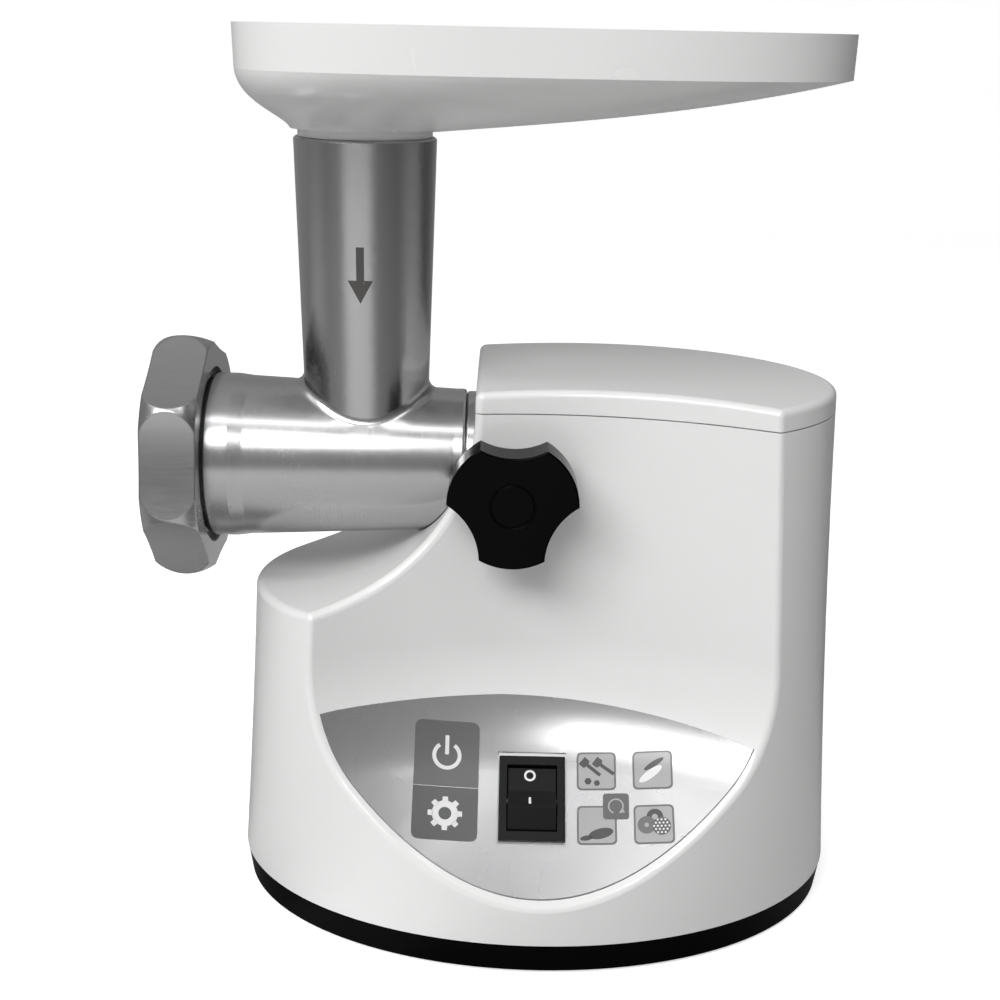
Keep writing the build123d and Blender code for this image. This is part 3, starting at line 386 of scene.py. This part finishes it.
def icon_tiles():
    """Four tiles with plain pictures of attachments, and a small square with a turning arrow."""
    left, right, upper, lower = 23.35, 46.1, 98.2, 75.7
    tile("icon_nozzles", left, upper)
    nozzle = [(-5.2, -0.7), (1.5, -0.7), (2.0, -1.9), (4.6, -1.9), (4.6, 1.9), (2.0, 1.9), (1.5, 0.7),
              (-5.2, 0.7)]
    on_panel("icon_nozzles_picture",
             [turned(nozzle, left - 2.4, upper + 1.6, math.radians(140)),
              turned(nozzle, left + 3.0, upper + 1.8, math.radians(143)),
              disc(left - 3.4, upper - 4.2, 1.5, 6), disc(left + 0.2, upper - 5.0, 1.3, 6)], "line", 0.18)
    tile("icon_blade", right, upper)
    on_panel("icon_blade_picture", [disc(right + 0.6, upper + 2.6, 4.6, 24, 0.24, 0.55)], "line", 0.18)
    on_panel("icon_blade_light", [disc(right - 0.8, upper - 1.6, 5.6, 24, 0.3, 0.62)], "white", 0.18)
    tile("icon_sausage", left, lower)
    on_panel("icon_sausage_picture", [disc(left + 1.6, lower - 3.4, 5.0, 24, 0.42, 0.22),
                                      disc(left - 4.2, lower - 5.2, 2.6, 16, 0.4, 0.15)], "line", 0.18)
    tile("icon_screens", right, lower)
    on_panel("icon_screens_left", ring(right - 2.9, lower - 0.2, 0.9, 3.6), "grey", 0.18)
    on_panel("icon_screens_top", ring(right + 0.4, lower + 3.0, 1.2, 3.3), "line", 0.15)
    on_panel("icon_screens_right", [disc(right + 3.0, lower - 0.8, 3.7)], "dark", 0.22)
    spots = [(1.5 * (i + j / 2), 1.3 * j) for i in range(-2, 3) for j in range(-2, 3)]
    holes = [disc(right + 3.0 + u, lower - 0.8 + v, 0.42, 8) for u, v in spots if math.hypot(u, v) < 3.1]
    on_panel("icon_screens_holes", holes, "white", 0.3)
    u, v = 31.1, 83.4
    on_panel("icon_turn_tile", [rounded(u - 5.2, u + 5.2, v - 5.3, v + 5.3, 1.3)], "dark", 0.3)
    arrow = ring(u, v, 2.6, 3.2, -40, 250, 24)
    arrow.append([(u + 1.2, v - 2.9), (u + 3.6, v - 2.6), (u + 2.6, v - 0.6)])
    on_panel("icon_turn_arrow", arrow, "tile", 0.38)


def rocker_marks():
    """The plain ring and bar of an on-off switch. The bar crosses a bend, so its cells are small."""
    off = ring(-3.9, 95.8, 1.5, 2.4)
    printed("rocker_off_mark", off, on_slope, "switch_rocker", "rocker", ink["white"], 0.02)
    on = [rounded(-4.4, -3.4, 81.6, 86.3, 0.2)]
    printed("rocker_on_mark", on, on_slope, "switch_rocker", "rocker", ink["white"], 0.05, cell=0.35)


def tube_mark():
    """A plain etched arrow that points down the feed tube."""
    top, neck, tip = 279.0, 266.0, 257.0
    arrow = [(-1.6, top), (-1.6, neck), (-5.2, neck), (0.0, tip), (5.2, neck), (1.6, neck), (1.6, top)]
    printed("tube_arrow", [arrow], on_tube, "barrel_housing", "head", ink["etch"], 0.02, 0.02)


label_block()
icon_tiles()
rocker_marks()
tube_mark()


# --- stage, light and camera ---------------------------------------------------------------------

# Metres again. How far to the side a wedge of the floor points, from -1 at the left to 1 at the right,
# and its grey.
FLOOR_WEDGES = ((-1.0, 0.5), (-0.9, 0.26), (-0.62, 0.26), (-0.42, 0.76), (0.14, 0.8), (0.36, 0.26),
                (0.88, 0.26), (1.0, 0.6))


def wedges(m):
    """Greys that fan out over the floor from the feed tube, which mirrors them as upright streaks."""
    shift = m.add("ShaderNodeMapping")
    shift.inputs["Location"].default_value = (-FEED_X, 0, 0)
    m.link(m.place, shift.inputs["Vector"])
    heading = m.add("ShaderNodeVectorMath", operation="NORMALIZE")
    m.link(shift.outputs[0], heading.inputs[0])
    parts = m.add("ShaderNodeSeparateXYZ")
    m.link(heading.outputs["Vector"], parts.inputs[0])
    ramp = m.add("ShaderNodeValToRGB")
    m.link(m.spread(parts.outputs["X"], 0, 1, -1, 1), ramp.inputs[0])
    stops = ramp.color_ramp.elements
    while len(stops) < len(FLOOR_WEDGES):
        stops.new(0.5)
    for stop, (side, grey) in zip(stops, FLOOR_WEDGES):
        stop.position, stop.color = (side + 1) / 2, (grey, grey, grey, 1)
    return ramp.outputs["Color"]


FLOOR_HALF = 6.0            # half its width


def swept_floor(name, profile):
    """A floor along a profile of y and z, with a material that is still to be coloured."""
    mesh = bmesh.new()
    rows = [[mesh.verts.new((x, y, z)) for y, z in profile] for x in (-FLOOR_HALF, FLOOR_HALF)]
    for k in range(len(profile) - 1):
        mesh.faces.new((rows[0][k], rows[1][k], rows[1][k + 1], rows[0][k + 1]))
    data = bpy.data.meshes.new(name)
    mesh.to_mesh(data)
    mesh.free()
    for face in data.polygons:
        face.use_smooth = True
    floor = bpy.data.objects.new(name, data)
    bpy.context.scene.collection.objects.link(floor)
    m = Nodes(name)
    m.set(Roughness=0.8)
    data.materials.append(m.material)
    return floor, m


def stage_floor():
    """The floor that is seen is near white; the one that lights the object from below is darker."""
    front, back, sweep, top = -4.0, 2.2, 1.2, 5.0
    profile = [(front, 0.0), (back, 0.0)]
    profile += [(back + sweep * math.sin(a), sweep - sweep * math.cos(a))
                for a in (math.radians(10 * k) for k in range(1, 10))]
    profile.append((back + sweep, top))
    seen, m = swept_floor("floor", profile)
    m.set(Base_Color=m.tint(m.spread(m.noise(3.0), 0, 1), (0.84, 0.84, 0.84), (0.87, 0.87, 0.87)))
    m.set(Emission_Color=(1, 1, 1, 1), Emission_Strength=0.62)
    seen.visible_diffuse = seen.visible_glossy = seen.visible_transmission = seen.visible_shadow = False
    just_below = -0.4 * MM
    under, m = swept_floor("floor_bounce", [(front, just_below), (0.5, just_below)])
    m.set(Base_Color=wedges(m))
    under.visible_camera = False


def lamp(name, place, size, power):
    """A rectangular lamp that faces the object: its place, width and height, and power in watts."""
    data = bpy.data.lights.new(name, "AREA")
    data.shape = "RECTANGLE"
    data.size, data.size_y = size
    data.energy = power
    obj = bpy.data.objects.new(name, data)
    obj.location = place
    obj.rotation_euler = (Vector((0, 0, 0.2)) - Vector(place)).to_track_quat("-Z", "Y").to_euler()
    bpy.context.scene.collection.objects.link(obj)


def make_camera():
    """The camera stands a little above the front of the object, tipped down and rolled slightly."""
    data = bpy.data.cameras.new("camera")
    data.lens, data.sensor_width = 54.0, 36.0
    data.clip_start, data.clip_end = 0.01, 50.0
    camera = bpy.data.objects.new("camera", data)
    pitch, roll = math.radians(17.4), math.radians(1.2)
    turn = Matrix.Rotation(math.radians(90) - pitch, 4, "X") @ Matrix.Rotation(roll, 4, "Z")
    camera.matrix_world = Matrix.Translation((-3.25 * MM, -606 * MM, 360 * MM)) @ turn
    bpy.context.scene.collection.objects.link(camera)
    bpy.context.scene.camera = camera


stage_floor()
make_camera()


def make_world():
    """A grey room: even near the horizon and below, brighter overhead, darker to the right."""
    world = bpy.data.worlds.new("world")
    world.use_nodes = True
    tree = world.node_tree
    direction = tree.nodes.new("ShaderNodeTexCoord").outputs["Generated"]
    parts = tree.nodes.new("ShaderNodeSeparateXYZ")
    ramp = tree.nodes.new("ShaderNodeValToRGB")
    tree.links.new(direction, parts.inputs[0])
    tree.links.new(parts.outputs["Z"], ramp.inputs[0])
    side = tree.nodes.new("ShaderNodeMapRange")
    tree.links.new(parts.outputs["X"], side.inputs["Value"])
    for socket, value in (("From Min", 0.2), ("From Max", 0.8), ("To Min", 1.0), ("To Max", 0.35)):
        side.inputs[socket].default_value = value
    tree.links.new(side.outputs["Result"], tree.nodes["Background"].inputs[1])
    tree.links.new(ramp.outputs[0], tree.nodes["Background"].inputs[0])
    stops = ramp.color_ramp.elements
    stops[0].position, stops[0].color = 0.0, (0.3, 0.3, 0.3, 1)
    stops[1].position, stops[1].color = 1.0, (0.5, 0.5, 0.5, 1)
    middle = stops.new(0.55)
    middle.color = (0.34, 0.34, 0.34, 1)
    bpy.context.scene.world = world


make_world()
bpy.context.scene.view_settings.view_transform = "Standard"
lamp("key", (-0.78, -1.47, 1.50), (1.7, 0.62), 30)
lamp("strip", (-0.1, -0.92, 1.95), (2.0, 0.16), 5.5)
lamp("left", (-1.15, -0.25, 1.75), (0.5, 1.0), 2.2)
lamp("right", (1.15, -0.25, 1.75), (0.5, 1.0), 1.4)
